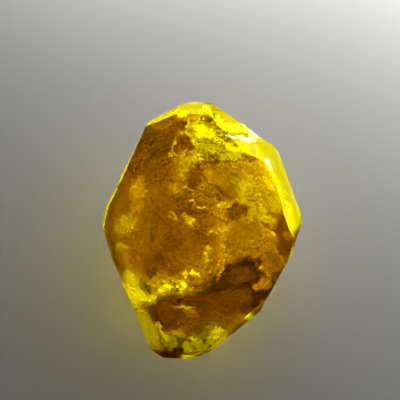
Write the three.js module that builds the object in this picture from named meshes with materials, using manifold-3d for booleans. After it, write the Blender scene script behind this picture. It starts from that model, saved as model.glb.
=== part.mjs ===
// A grossular garnet crystal: one honey-yellow stone, a flattened rhombic dodecahedron with trapezohedral
// bevels, that broke across its broad front. It is one solid, and it lies on its largest natural face.
// Millimetres, +Z up, origin under the middle of the stone, on the surface that it lies on.
//
// The stone is made in its own axes and then laid down:
//   x runs across it, y along its length, and z out of the broken front.
// A flat face is given by the way it looks, as an azimuth round z from +x and a polar angle from +z, both in
// degrees, and by a line that it passes through: so far out from the z axis, and at such a height.

import * as THREE from "three";
import { ImprovedNoise } from "three/addons/math/ImprovedNoise.js";
import { mergeVertices } from "three/addons/utils/BufferGeometryUtils.js";
import Module from "manifold-3d";

// ---- Driving dimensions ----
const HALF_LENGTH = 23.5; // tip to tip the stone is twice this
const PLATEAU = 9.6; // height of the front's flat middle above the stone's centre
const REST_DEPTH = 11.6; // from the stone's centre to the face that it lies on
const LEAN = 14; // degrees from the broken front to the face that it lies on
const SPACING = 0.64; // between neighbouring points of the broken front
const GROWTH_STEP = 0.28; // height of one growth terrace on a natural face

const wasm = await Module();
wasm.setup();

const noise = new ImprovedNoise();
const Z = new THREE.Vector3(0, 0, 1);
const radians = THREE.MathUtils.degToRad;
const { clamp, lerp, smoothstep } = THREE.MathUtils;

// ---- Solids ----

// A closed three.js geometry as a manifold-3d solid.
function asSolid(geometry) {
  const bare = geometry.clone();
  bare.deleteAttribute("normal");
  bare.deleteAttribute("uv");
  const merged = mergeVertices(bare, 1e-4);
  return new wasm.Manifold(
    new wasm.Mesh({
      numProp: 3,
      vertProperties: merged.attributes.position.array,
      triVerts: new Uint32Array(merged.index.array),
    }),
  );
}

// A manifold-3d solid as a three.js geometry.
function asGeometry(solid) {
  const mesh = solid.getMesh();
  const places = new Float32Array(mesh.numVert * 3);
  for (let i = 0; i < mesh.numVert; i++) {
    places.set(mesh.vertProperties.subarray(i * mesh.numProp, i * mesh.numProp + 3), i * 3);
  }
  const geometry = new THREE.BufferGeometry();
  geometry.setAttribute("position", new THREE.BufferAttribute(places, 3));
  geometry.setIndex(new THREE.BufferAttribute(mesh.triVerts, 1));
  return geometry;
}

// Turns +Z of a geometry to a direction and moves its origin to a place.
function placed(geometry, direction, place) {
  const turn = new THREE.Quaternion().setFromUnitVectors(Z, direction);
  return geometry.applyQuaternion(turn).translate(place.x, place.y, place.z);
}

// ---- Natural faces ----

// A flat face through the line that lies so far out along its azimuth, at such a height.
function face(azimuth, polar, out, height) {
  const normal = new THREE.Vector3().setFromSphericalCoords(1, radians(polar), radians(azimuth + 90));
  normal.set(normal.x, -normal.z, normal.y); // three.js measures a polar angle from +Y, not +Z
  const distance = Math.sin(radians(polar)) * out + Math.cos(radians(polar)) * height;
  return { normal, distance };
}

// How high a face stands over a point.
function heightOf({ normal, distance }, x, y) {
  return (distance - normal.x * x - normal.y * y) / normal.z;
}

const BLANK = 4 * HALF_LENGTH; // side of the block that the stone is cut from, and of each cutting block

// Everything beyond a face.
function beyond({ normal, distance }) {
  const block = new THREE.BoxGeometry(BLANK, BLANK, BLANK);
  return asSolid(placed(block, normal, normal.clone().multiplyScalar(distance + BLANK / 2)));
}

// The sides of the outline, counted round from +x. Each has a face in front of the sharp rim and one behind.
// azimuth, distance out, height of the rim, polar angle in front, polar angle behind
const SIDES = [
  [0, 18.2, 1.4, 74, 105],
  [20, 17.85, 2.2, 61, 119], // right
  [55, 20.0, 2.4, 56, 125], // long upper right side
  [93, 23.4, 1.6, 58, 121], // top
  [118, 22.0, 2.4, 61, 118], // top left
  [141, 20.6, 2.6, 64, 112],
  [154, 17.5, 3.4, 80, 97], // long upper left side
  [169, 18.1, 3.0, 78, 110],
  [196, 17.38, 3.0, 80, 112],
  [203, 17.3, 3.0, 82, 118], // long lower left side
  [239, 23.85, 2.6, 74, 109],
  [268, 23.6, 3.2, 66, 112], // foot
  [291, 21.3, 3.0, 68, 113],
  [309, 18.25, 2.6, 72, 108],
  [331, 16.5, 1.8, 84, 96], // long lower right side
  [342, 16.98, 1.0, 82, 104],
];

function sideBehind(wanted) {
  const [azimuth, out, rim, , behind] = SIDES.find((side) => side[0] === wanted);
  return face(azimuth, behind, out, rim);
}

// Trapezohedral faces that bevel the back, between the sides and the face that it lies on.
const BACK_BEVELS = [
  face(29, 148, 12.5, -10.2),
  face(99, 150, 13.0, -13.2),
  face(209, 149, 12.0, -9.8),
  face(279, 152, 17.5, -6.4),
];

const REST = face(-90, 180 - LEAN, 0, -REST_DEPTH / Math.cos(radians(LEAN)));

// One face less a thin layer everywhere but over a rhombus: a growth terrace. The rhombus is given by its
// middle (x and y), its half diagonals and its turn about the face's own normal.
function terrace(natural, [x, y, halfLong, halfShort, turn]) {
  const rhombus = new THREE.CylinderGeometry(1, 1, 4, 4)
    .rotateX(Math.PI / 2)
    .scale(halfLong, halfShort, 1)
    .rotateZ(radians(turn));
  const middle = new THREE.Vector3(x, y, heightOf(natural, x, y));
  const kept = asSolid(placed(rhombus, natural.normal, middle));
  return beyond({ ...natural, distance: natural.distance - GROWTH_STEP }).subtract(kept);
}

// A shallow four-sided pit that weather etched into a face, over a point, so wide and turned by an angle.
function etchPit(natural, [x, y, width, turn]) {
  const DEPTH_SHARE = 0.22;
  const pit = new THREE.ConeGeometry(width * 0.75, 2 * width * DEPTH_SHARE, 4)
    .rotateX(-Math.PI / 2)
    .rotateZ(radians(turn));
  return asSolid(placed(pit, natural.normal, new THREE.Vector3(x, y, heightOf(natural, x, y))));
}

// A shell-shaped chip knocked off an edge: the middle of the chip, the way that it looks, its radius.
function chip([x, y, z], [azimuth, polar], radius) {
  const HOLLOW = 2.2; // radius of the hollow against that of the chip
  const { normal } = face(azimuth, polar, 0, 0);
  const ball = new THREE.SphereGeometry(radius * HOLLOW, 40, 26);
  const lift = radius * Math.sqrt(HOLLOW * HOLLOW - 1);
  return asSolid(placed(ball, normal, new THREE.Vector3(x, y, z).addScaledVector(normal, lift)));
}

function grown() {
  let stone = asSolid(new THREE.BoxGeometry(BLANK, BLANK, BLANK));
  for (const [azimuth, out, rim, front, behind] of SIDES) {
    stone = stone.subtract(beyond(face(azimuth, front, out, rim)));
    stone = stone.subtract(beyond(face(azimuth, behind, out, rim)));
  }
  for (const natural of [...BACK_BEVELS, REST]) {
    stone = stone.subtract(beyond(natural));
  }
  const [right, top, left, foot] = BACK_BEVELS;
  const upperRight = sideBehind(55);
  const lowerLeft = sideBehind(203);
  const flaws = [
    terrace(REST, [0, 2, 19, 14, 62]),
    terrace(right, [12, 9, 9, 5, 30]),
    terrace(left, [-12, -6, 9, 5, 20]),
    terrace(upperRight, [10, 13, 9, 5.5, 12]),
    terrace(lowerLeft, [-12.5, -8, 8, 5, -20]),
    etchPit(right, [9.5, 9.5, 1.8, 20]),
    etchPit(right, [11.5, 4.5, 1.1, 20]),
    etchPit(top, [-3, 15, 1.5, 35]),
    etchPit(foot, [1.5, -16.5, 1.6, 10]),
    etchPit(foot, [5, -13.5, 1, 10]),
    etchPit(upperRight, [12.5, 10.5, 1.6, 40]),
    etchPit(upperRight, [6.5, 15, 1.1, 40]),
    etchPit(lowerLeft, [-12, -10.5, 1.4, 15]),
    chip([17.6, 1.6, -0.8], [8, 100], 2.4),
    chip([-17.4, 0.4, -1.2], [183, 108], 2.8),
    chip([-8.8, -21.6, 0.2], [225, 104], 1.8),
    chip([12.4, 15, 0.6], [40, 100], 1.9),
  ];
  return flaws.reduce((whole, flaw) => whole.subtract(flaw), stone);
}

// ---- The broken front ----

// Fracture facets that slope down from the plateau: azimuth, slope, distance out of the ridge.
const FACETS = [
  face(60, 2, 0, PLATEAU), // the plateau itself
  face(101, 24, 11.8, PLATEAU), // crinkled facet at the top
  face(131, 30, 10.7, PLATEAU), // upper left
  face(180, 23, 9.4, PLATEAU), // left
  face(22, 15, 9.6, PLATEAU), // right
  face(-33, 19, 9.4, PLATEAU), // lower right
  face(-75, 21, 10.6, PLATEAU), // below the groove
];
const LOWER_LEFT_STRIP = face(203, 62, 17.3, 3); // only below the groove

// Ledges. Each drops on the left of a line, as one walks along it, and comes back up over a width.
// foot: the share of the width that the drop takes. stops: x, y, width, depth
const GROOVE = {
  foot: 0.2,
  stops: [
    [-19.0, -13.6, 5.4, 1.6],
    [-12.9, -13.9, 4.6, 1.9],
    [-9.6, -13.7, 4.0, 2.2],
    [-7.6, -12.5, 3.8, 2.2],
    [-3.2, -11.5, 4.8, 2.0],
    [0.4, -11.2, 6.0, 1.8],
    [3.4, -10.3, 7.2, 1.5],
    [8.4, -6.7, 5.4, 1.1],
    [12.3, -4.7, 3.0, 0.3],
  ],
};
const LEDGES = [
  GROOVE,
  {
    foot: 0.1, // at the right corner
    stops: [
      [17.6, -5.6, 5.5, 1.3],
      [16.0, -3.95, 5.5, 1.3],
      [13.9, -1.7, 5.0, 1.2],
      [12.0, 0.0, 4.5, 0.9],
      [10.6, 1.2, 4.0, 0.6],
      [7.8, 1.6, 3.0, 0.0],
    ],
  },
  {
    foot: 0.12, // under the facet at the top
    stops: [
      [9.6, 14.6, 3.0, 0.0],
      [8.2, 13.2, 3.0, 0.35],
      [5.8, 12.6, 3.5, 0.55],
      [1.5, 12.2, 3.5, 0.5],
      [-2.9, 11.6, 3.0, 0.3],
      [-4.4, 11.6, 2.5, 0.0],
    ],
  },
  {
    foot: 0.2, // an arc above the middle
    stops: [
      [-2.4, 12.4, 2.0, 0.0],
      [-1.5, 11.0, 2.4, 0.35],
      [0.2, 8.4, 3.0, 0.45],
      [2.2, 6.9, 3.0, 0.4],
      [4.9, 6.1, 2.5, 0.0],
    ],
  },
  {
    foot: 0.2, // two short steps over the large scoop
    stops: [
      [-10.4, 6.6, 2.0, 0.0],
      [-7.4, 5.9, 2.6, 0.35],
      [-4.6, 5.2, 2.6, 0.3],
      [-1.8, 5.7, 2.0, 0.0],
    ],
  },
  {
    foot: 0.2,
    stops: [
      [-7.6, 2.8, 1.6, 0.0],
      [-4.6, 3.9, 2.2, 0.35],
      [-1.8, 3.3, 2.2, 0.4],
      [0.6, 1.2, 1.6, 0.0],
    ],
  },
  {
    foot: 0.3, // the fold from the groove up to the right
    stops: [
      [-1.6, -4.6, 2.4, 0.0],
      [1.2, -1.4, 3.2, 0.6],
      [4.6, 1.2, 3.2, 0.6],
      [8.2, 3.4, 2.4, 0.0],
    ],
  },
  {
    foot: 0.15, // below the groove
    stops: [
      [3.4, -15.6, 2.0, 0.0],
      [0.4, -14.9, 2.4, 0.3],
      [-3.0, -14.0, 2.4, 0.4],
      [-5.4, -14.6, 2.0, 0.0],
    ],
  },
  {
    foot: 0.2, // the ridge at the top
    stops: [
      [-4.4, 12.4, 2.0, 0.0],
      [-3.6, 14.6, 2.6, 0.4],
      [-3.8, 17.6, 2.6, 0.45],
      [-4.0, 20.6, 2.0, 0.2],
    ],
  },
];

// Where a point is against a line: how far to its left, and the width and depth of the nearest stop.
function against(stops, x, y) {
  let nearest = { gap: Infinity };
  for (let i = 0; i + 1 < stops.length; i++) {
    const [ax, ay, aWidth, aDepth] = stops[i];
    const [bx, by, bWidth, bDepth] = stops[i + 1];
    const [dx, dy] = [bx - ax, by - ay];
    const along = clamp(((x - ax) * dx + (y - ay) * dy) / (dx * dx + dy * dy), 0, 1);
    const [nearX, nearY] = [ax + along * dx, ay + along * dy];
    const gap = Math.hypot(x - nearX, y - nearY);
    if (gap < nearest.gap) {
      const left = Math.sign(dx * (y - ay) - dy * (x - ax)) * gap;
      const width = lerp(aWidth, bWidth, along);
      const depth = lerp(aDepth, bDepth, along);
      nearest = { gap, left, nearX, nearY, width, depth };
    }
  }
  return nearest;
}

// Moves a point onto the line of a ledge that runs close by it, so that the ledge is crisp.
function snapped(x, y) {
  for (const { stops } of LEDGES) {
    const { left, gap, depth, nearX, nearY } = against(stops, x, y);
    if (depth > 0.2 && gap < 0.4 * SPACING && left !== 0) return [nearX, nearY];
  }
  return [x, y];
}

function ledgeDepth({ foot, stops }, x, y) {
  const { left, width, depth } = against(stops, x, y);
  const share = left / width;
  if (share <= 0 || share >= 1) return 0;
  return depth * (share < foot ? share / foot : (1 - share) / (1 - foot));
}

// Shell-shaped scoops with ripples round the middle, as garnet breaks: x, y, radius, depth, ripple
const SCOOPS = [
  [-5.2, -1.9, 6.4, 1.1, 0.1], // the large smooth one, left of the middle
  [12.4, 7.0, 4.6, 0.6, 0.05],
  [0.4, -17.4, 5.6, 0.8, 0.08],
  [-5.6, -18.6, 3.2, 0.6, 0.04],
  [5.4, -18.4, 3.0, 0.5, 0.04],
  [4.2, 5.0, 4.4, 0.5, 0.06],
  [-13.4, 3.6, 4.4, 0.5, 0.05],
  [-13.6, -4.6, 4.0, 0.5, 0.05],
  [-12.9, -10.6, 0.9, 0.4, 0], // a small pit
  [-2.0, -7.8, 1.1, 0.45, 0],
];

function scoopDepth([atX, atY, radius, depth, ripple], x, y) {
  const share = Math.hypot(x - atX, y - atY) / radius;
  if (share >= 1) return 0;
  return depth * (1 - share * share) + 4 * ripple * share * (1 - share) * Math.sin(15 * share);
}

// Where the front is hackly: x, y, radius, height. Everywhere else it is close to smooth.
const HACKLY = [
  [2.5, 16.2, 7.5, 0.42], // the crinkled facet at the top
  [-9.5, 13.5, 6.5, 0.26],
  [-4.5, -9.6, 6.0, 0.36], // the groove
  [4.5, -7.4, 6.5, 0.4],
  [1.0, 5.5, 7.0, 0.26], // the middle
  [10.5, -6.0, 6.0, 0.24],
  [8.5, 8.0, 5.0, 0.18],
];
const SMOOTH = 0.1;

// Sharp-crested noise, from -1 to 1, with crests so far apart.
function crests(x, y, apart) {
  const bend = 0.5 * noise.noise(x / 6, y / 6, 9.3);
  return 1 - 4 * Math.abs(noise.noise(x / apart + bend, y / apart - bend, apart));
}

function crumple(x, y) {
  let height = SMOOTH;
  for (const [atX, atY, radius, extra] of HACKLY) {
    const fade = 1 - smoothstep(Math.hypot(x - atX, y - atY), 0.4 * radius, 1.2 * radius);
    height = Math.max(height, extra * fade);
  }
  return height * (0.6 * crests(x, y, 4.4) + 0.4 * crests(y + 31, x, 2.6));
}

// Height of the broken front over a point.
function front(x, y) {
  let height = Math.min(...FACETS.map((facet) => heightOf(facet, x, y)));
  const below = smoothstep(-against(GROOVE.stops, x, y).left, 0, 0.8);
  height -= below * Math.max(0, height - heightOf(LOWER_LEFT_STRIP, x, y));
  for (const ledge of LEDGES) height -= ledgeDepth(ledge, x, y);
  for (const scoop of SCOOPS) height -= scoopDepth(scoop, x, y);
  return height + crumple(x, y);
}

// Everything below the broken front: a sheet of near-equal triangles over a lower one.
function belowFront() {
  const rowGap = SPACING * Math.sqrt(0.75);
  const across = Math.ceil(HALF_LENGTH / SPACING);
  const along = Math.ceil((HALF_LENGTH + 1) / rowGap);
  const columns = 2 * across + 1;
  const rows = 2 * along + 1;
  const top = [];
  const bottom = [];
  for (let row = 0; row < rows; row++) {
    for (let column = 0; column < columns; column++) {
      const [x, y] = snapped((column - across + (row % 2) / 2) * SPACING, (row - along) * rowGap);
      top.push(x, y, front(x, y));
      bottom.push(x, y, -BLANK / 2);
    }
  }
  const count = rows * columns;
  const corners = [];
  const add = (a, b, c) => corners.push(a, b, c, a + count, c + count, b + count);
  for (let row = 0; row + 1 < rows; row++) {
    for (let column = 0; column + 1 < columns; column++) {
      const a = row * columns + column;
      const [b, c, d] = [a + 1, a + columns, a + columns + 1];
      if (row % 2) {
        add(a, b, d);
        add(a, d, c);
      } else {
        add(a, b, c);
        add(b, d, c);
      }
    }
  }
  const edge = []; // anticlockwise round the sheet, seen from above
  for (let column = 0; column < columns; column++) edge.push(column);
  for (let row = 1; row < rows; row++) edge.push(row * columns + columns - 1);
  for (let column = columns - 2; column >= 0; column--) edge.push((rows - 1) * columns + column);
  for (let row = rows - 2; row > 0; row--) edge.push(row * columns);
  edge.forEach((from, i) => {
    const to = edge[(i + 1) % edge.length];
    corners.push(from, from + count, to + count, from, to + count, to);
  });
  const sheet = new THREE.BufferGeometry();
  sheet.setAttribute("position", new THREE.Float32BufferAttribute([...top, ...bottom], 3));
  sheet.setIndex(corners);
  return asSolid(sheet);
}

// ---- The stone ----

const garnet = new THREE.MeshStandardMaterial({ color: 0xb8860b, roughness: 0.12, metalness: 0 });
const crystal = new THREE.Mesh(asGeometry(grown().intersect(belowFront())), garnet);
crystal.name = "garnet_crystal";
crystal.rotation.x = radians(LEAN);

// Sets the stone down with its middle over the origin.
const lying = new THREE.Group();
lying.add(crystal);
const extent = new THREE.Box3().setFromObject(lying, true);
const middle = extent.getCenter(new THREE.Vector3());
lying.position.set(-middle.x, -middle.y, -extent.min.z);

const stone = new THREE.Group();
stone.add(lying);

export default stone;
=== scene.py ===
# %% [markdown]
# # A grossular garnet crystal
#
# Grossular is a calcium garnet. This one is clear and honey yellow, and it broke in two long ago, so one
# broad side is a hackly break and the others are flat crystal faces. A clear stone is all about light:
# what we see is light that came in somewhere else, bounced about inside, lost its blue on the way and
# came out towards us. So the work is to give the stone an exact surface, the right glass, and something
# bright behind it.

# %% Load the frame
import math
import random

import bmesh
import bpy
from mathutils import Matrix, Vector, noise
from mathutils.bvhtree import BVHTree


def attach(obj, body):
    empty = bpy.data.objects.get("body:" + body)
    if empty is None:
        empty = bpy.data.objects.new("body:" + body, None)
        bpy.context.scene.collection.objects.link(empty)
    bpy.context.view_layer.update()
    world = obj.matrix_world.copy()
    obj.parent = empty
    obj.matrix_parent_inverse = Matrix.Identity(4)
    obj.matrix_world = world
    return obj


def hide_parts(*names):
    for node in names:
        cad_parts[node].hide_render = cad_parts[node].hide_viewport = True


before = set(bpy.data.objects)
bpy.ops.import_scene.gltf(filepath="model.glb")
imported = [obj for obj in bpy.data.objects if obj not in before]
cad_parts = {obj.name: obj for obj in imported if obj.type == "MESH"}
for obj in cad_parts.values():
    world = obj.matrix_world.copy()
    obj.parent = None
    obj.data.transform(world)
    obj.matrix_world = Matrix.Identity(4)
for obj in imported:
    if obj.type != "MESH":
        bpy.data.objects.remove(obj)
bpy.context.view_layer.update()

# %% [markdown]
# ## Colours and nodes
#
# Colours are written as sRGB hex, the way a paint chart gives them, and turned to the linear values that
# light adds up in. One helper adds a node with its settings and its links, for materials and Geometry
# Nodes alike.

# %% Helpers
MM = 0.001


def linear(hex_colour):
    """An sRGB colour such as "#c08a10" as linear RGBA."""
    parts = [int(hex_colour[i : i + 2], 16) / 255 for i in (1, 3, 5)]
    return (*[c / 12.92 if c <= 0.04045 else ((c + 0.055) / 1.055) ** 2.4 for c in parts], 1.0)


def add_node(tree, kind, settings=None, **links):
    """Adds a node. settings sets its properties, and links gives each input a value or a socket to link
    from. An input is called by its name, or by its number, as _0."""
    node = tree.nodes.new(kind)
    for name, value in (settings or {}).items():
        setattr(node, name, value)
    for name, value in links.items():
        key = int(name[1:]) if name[0] == "_" else name.replace("_", " ")
        if isinstance(value, bpy.types.NodeSocket):
            tree.links.new(value, node.inputs[key])
        else:
            node.inputs[key].default_value = value
    return node


def smooth_step(share):
    """0 below 0, 1 above 1, and an S-shaped curve between."""
    share = min(max(share, 0.0), 1.0)
    return share * share * (3 - 2 * share)


# %% [markdown]
# ## The crystal's surface
#
# The CAD solid already has every face, ledge and scoop of the real stone. It could be modelled again here
# with finer tools, but then the two would differ. So a copy of the solid is welded, cut finer and
# wrinkled, and the solid itself stays hidden behind it.

# %% Copy the solid
crystal_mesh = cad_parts["garnet_crystal"].data.copy()
crystal_mesh.name = "garnet"
crystal = bpy.data.objects.new("garnet", crystal_mesh)
bpy.context.scene.collection.objects.link(crystal)

stone = bmesh.new()
stone.from_mesh(crystal_mesh)
bmesh.ops.remove_doubles(stone, verts=stone.verts, dist=0.0001 * MM)
print("solid:", len(stone.verts), "points,", len(stone.faces), "triangles")

# %% [markdown]
# The stone was shaped in axes of its own, with z straight out of the break, and then leaned back 14
# degrees to lie on its largest face. Patterns are easier to lay out in those axes, so two functions go
# back and forth.

# %% The stone's own axes
LEAN = math.radians(14)
MIDDLE = Vector((0.0742, 0.6372, 11.6))  # where the lean puts the middle of those axes, in mm
LAY_DOWN = Matrix.Rotation(LEAN, 3, "X")
STAND_UP = LAY_DOWN.inverted()


def to_stone(place):
    """A place in the scene, in metres, as one in the stone's own axes, in mm."""
    return STAND_UP @ (place / MM - MIDDLE)


def to_scene(point):
    """A place in the stone's own axes, in mm, as one in the scene, in metres."""
    return (LAY_DOWN @ point + MIDDLE) * MM


# %% [markdown]
# ## Crystal faces and the break
#
# A crystal face is one plane, however many triangles it has, and it is far larger than any flat bit of
# the break. The list of planes could be typed in, but the mesh knows them: starting from its largest
# triangles, each plane takes in the neighbours that lie in it. What is left over is the break and a few
# narrow bevels between crystal faces. The break hangs together as one large patch, and the bevels are
# small ones of their own.

# %% Tell the crystal faces from the break
IN_PLANE = 0.002 * MM
SMALLEST_FACE = 5 * MM * MM
SMALLEST_SEED = SMALLEST_FACE / 40
LARGEST_BEVEL = 50 * MM * MM

plane_of = stone.faces.layers.int.new("plane")
crease_of = stone.verts.layers.float.new("crease")
hackly_of = stone.verts.layers.float.new("hackly")


def joined(seed, belongs):
    """The triangles that hang together with a seed and pass a test."""
    patch, front = {seed}, [seed]
    while front:
        for edge in front.pop().edges:
            for other in edge.link_faces:
                if other not in patch and belongs(other):
                    patch.add(other)
                    front.append(other)
    return patch


def same_plane(seed):
    """The triangles round a seed that lie in its plane."""
    corner, normal = seed.verts[0].co, seed.normal
    return joined(seed, lambda face: all(abs((v.co - corner).dot(normal)) < IN_PLANE for v in face.verts))


def area_of(patch):
    """The area of some triangles together."""
    return sum(face.calc_area() for face in patch)


stone.normal_update()
planes = 0
for seed in sorted(stone.faces, key=lambda face: -face.calc_area()):
    if seed[plane_of] or seed.calc_area() < SMALLEST_SEED:
        continue
    patch = same_plane(seed)
    if area_of(patch) < SMALLEST_FACE:
        continue
    planes += 1
    for face in patch:
        face[plane_of] = planes
bevels, looked_at = 0, set()
for seed in stone.faces:
    if seed[plane_of] or seed in looked_at:
        continue
    patch = joined(seed, lambda face: not face[plane_of])
    looked_at |= patch
    if area_of(patch) < LARGEST_BEVEL:
        bevels += 1
        for face in patch:
            face[plane_of] = planes + bevels
in_planes = sum(face[plane_of] > 0 for face in stone.faces)
print("crystal faces:", planes, "and", bevels, "bevels, in", in_planes, "of", len(stone.faces), "triangles")

# %% [markdown]
# The break's triangles are a good half millimetre long. Each edge is cut in four, and the new points are
# smoothed until the coarse triangles no longer show. The rim where the break meets a crystal face was
# stepped by the same triangles, so its points slide along their face to the middle between their
# neighbours.

# %% Cut the break finer, round it, and straighten its rim
CUTS = 3
ROUNDING = 5
RIM_ROUNDING = 10
STEADY = 0.9  # cosine of the most that a face may tilt while its rim slides
EVERY_WAY = {"use_axis_x": True, "use_axis_y": True, "use_axis_z": True}

break_edges = [edge for edge in stone.edges if not all(face[plane_of] for face in edge.link_faces)]
bmesh.ops.subdivide_edges(stone, edges=break_edges, cuts=CUTS, use_grid_fill=True)
bmesh.ops.triangulate(stone, faces=stone.faces[:])


def on_break(point):
    """Whether a point lies on the break alone, and not on its rim."""
    return not any(face[plane_of] for face in point.link_faces)


def rim_neighbours(point):
    """The next points along the rim, for a rim point of one crystal face only."""
    if len({face[plane_of] for face in point.link_faces if face[plane_of]}) != 1:
        return []
    rim = [edge for edge in point.link_edges if len({face[plane_of] > 0 for face in edge.link_faces}) == 2]
    return [edge.other_vert(point) for edge in rim] if len(rim) == 2 else []


break_points = [point for point in stone.verts if on_break(point)]
rim_points = {point: ends for point in stone.verts if (ends := rim_neighbours(point))}
for _ in range(RIM_ROUNDING):
    middles = {point: (ends[0].co + ends[1].co) / 2 for point, ends in rim_points.items()}
    for point, middle in middles.items():
        before = point.co.copy()
        normals = {face: face.normal.copy() for face in point.link_faces if face[plane_of]}
        point.co = before.lerp(middle, 0.5)
        for face, normal in normals.items():
            face.normal_update()
            if face.normal.dot(normal) < STEADY:
                point.co = before
        for face in normals:
            face.normal_update()
for _ in range(ROUNDING):
    bmesh.ops.smooth_vert(stone, verts=break_points, factor=0.5, **EVERY_WAY)
stone.normal_update()
print("cut finer:", len(stone.faces), "triangles;", len(rim_points), "rim points straightened")

# %% [markdown]
# ## Wrinkles
#
# Garnet has no cleavage. It breaks like thick glass with flaws in it, in scoops with sharp little ridges,
# roughest where the crack changed its mind. Real wrinkles are far too many to place one by one, and a
# picture of them would be flat. Here noise moves the points: folds with sharp crests, small tilted chips,
# and a slow swell under both. A short list says where the break is at its most hackly. The sharp crests
# are remembered as creases, because dirt and rust lodge there.

# %% Wrinkle the break
HACKLY = [
    # x, y, radius, how hackly, which way its grain runs in degrees
    (2.5, 16.2, 7.5, 1.0, -38),
    (-9.5, 13.5, 6.5, 0.6, 70),
    (-4.5, -9.6, 6.0, 0.65, -50),
    (4.5, -7.4, 6.5, 1.0, 30),
    (0.5, 3.6, 6.0, 0.6, -18),
    (10.5, -6.0, 6.0, 0.6, 35),
    (0.5, -19.5, 6.0, 0.6, 25),
    (-7.0, -18.5, 3.5, 0.6, -70),
    (9.5, 7.5, 4.5, 0.3, -50),
    (15.0, -1.0, 3.5, 0.6, -45),
]
CALM, CALM_GRAIN = 0.12, -20  # how hackly the rest of the break is, and its grain
HACKLY_REACH, HACKLY_SOFTNESS = 1.2, 0.8  # where a hackly patch ends and how soft its edge is, as shares
WANDER, WANDER_APART = 0.9, 3.0  # how far the pattern of wrinkles strays, and over what length, in mm
# how high each kind of wrinkle is and how far apart, also in mm
FOLD_HEIGHT, FOLDS_APART = 0.24, 1.3
FINE_HEIGHT, FINE_APART = 0.1, 0.6
CHIP_HEIGHT, CHIP_SIZE = 0.16, 1.1
SWELL_HEIGHT, SWELL_APART = 0.12, 2.4
LONG_FOLDS_APART = 3.6
DRAWN_OUT = 3.0  # how many times longer than wide the folds are
FOLD_CREST, FINE_CREST, LONG_CREST = 0.8, 0.7, 0.9  # where the crest of a fold begins, for the stain


def hackly(x, y):
    """How hackly the break is at a point, from CALM to 1, and which way its grain runs."""
    most, grain = CALM, CALM_GRAIN
    for u, v, radius, share, way in HACKLY:
        out = math.hypot(x - u, y - v) / radius
        here = share * smooth_step((HACKLY_REACH - out) / HACKLY_SOFTNESS)
        grain += (way - grain) * here
        most = max(most, here)
    return most, grain


def stretched(point, degrees, times):
    """The same point with its distances along a direction made so many times shorter: noise read there
    is drawn out into streaks that run that way."""
    q = Matrix.Rotation(-math.radians(degrees), 3, "Z") @ point
    return Vector((q.x / times, q.y, q.z))


def folds(point, apart):
    """Sharp-crested noise from 0 to 1, with crests about so many mm apart."""
    return 1 - min(1, 2.2 * abs(noise.noise(point / apart)))


def crest_above(level, start):
    """0 up to a level, and from there evenly up to 1: only the crests of folds."""
    return max(0, level - start) / (1 - start)


def elsewhere(point, x, y=0, z=0):
    """The same point in another part of the noise, so that two patterns don't match."""
    return point + Vector((x, y, z))


def chips(point, apart):
    """Small flat facets, each tilted its own way."""
    place = point / apart
    centre = noise.voronoi(place)[1][0]
    return (place - centre).dot(noise.cell_vector(centre * 3.1) - Vector((0.5, 0.5, 0.5)))


moves = []
for point in break_points:
    p = to_stone(point.co)
    wide = p / WANDER_APART
    q = p + WANDER * Vector((noise.noise(wide), noise.noise(elsewhere(wide, 9)), 0))
    rough, grain = hackly(p.x, p.y)
    point[hackly_of] = rough
    streak = stretched(q, grain, DRAWN_OUT)
    crest = folds(streak, FOLDS_APART)
    fine = folds(elsewhere(streak, 5, 5, 5), FINE_APART)
    long_crest = folds(elsewhere(q, 3, 1, 4), LONG_FOLDS_APART)
    point[crease_of] = rough * (crest_above(crest, FOLD_CREST) + 0.8 * crest_above(fine, FINE_CREST))
    point[crease_of] += 0.3 * crest_above(long_crest, LONG_CREST)
    height = FOLD_HEIGHT * (0.5 - crest) + CHIP_HEIGHT * chips(q, CHIP_SIZE) + FINE_HEIGHT * (0.5 - fine)
    height = rough * height + SWELL_HEIGHT * noise.noise(q / SWELL_APART)
    moves.append(point.normal * height * MM)
for point, move in zip(break_points, moves):
    point.co += move
print("wrinkled", len(moves), "points by up to", round(max(move.length for move in moves) / MM, 2), "mm")
stone.normal_update()
shell = BVHTree.FromBMesh(stone)
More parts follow.
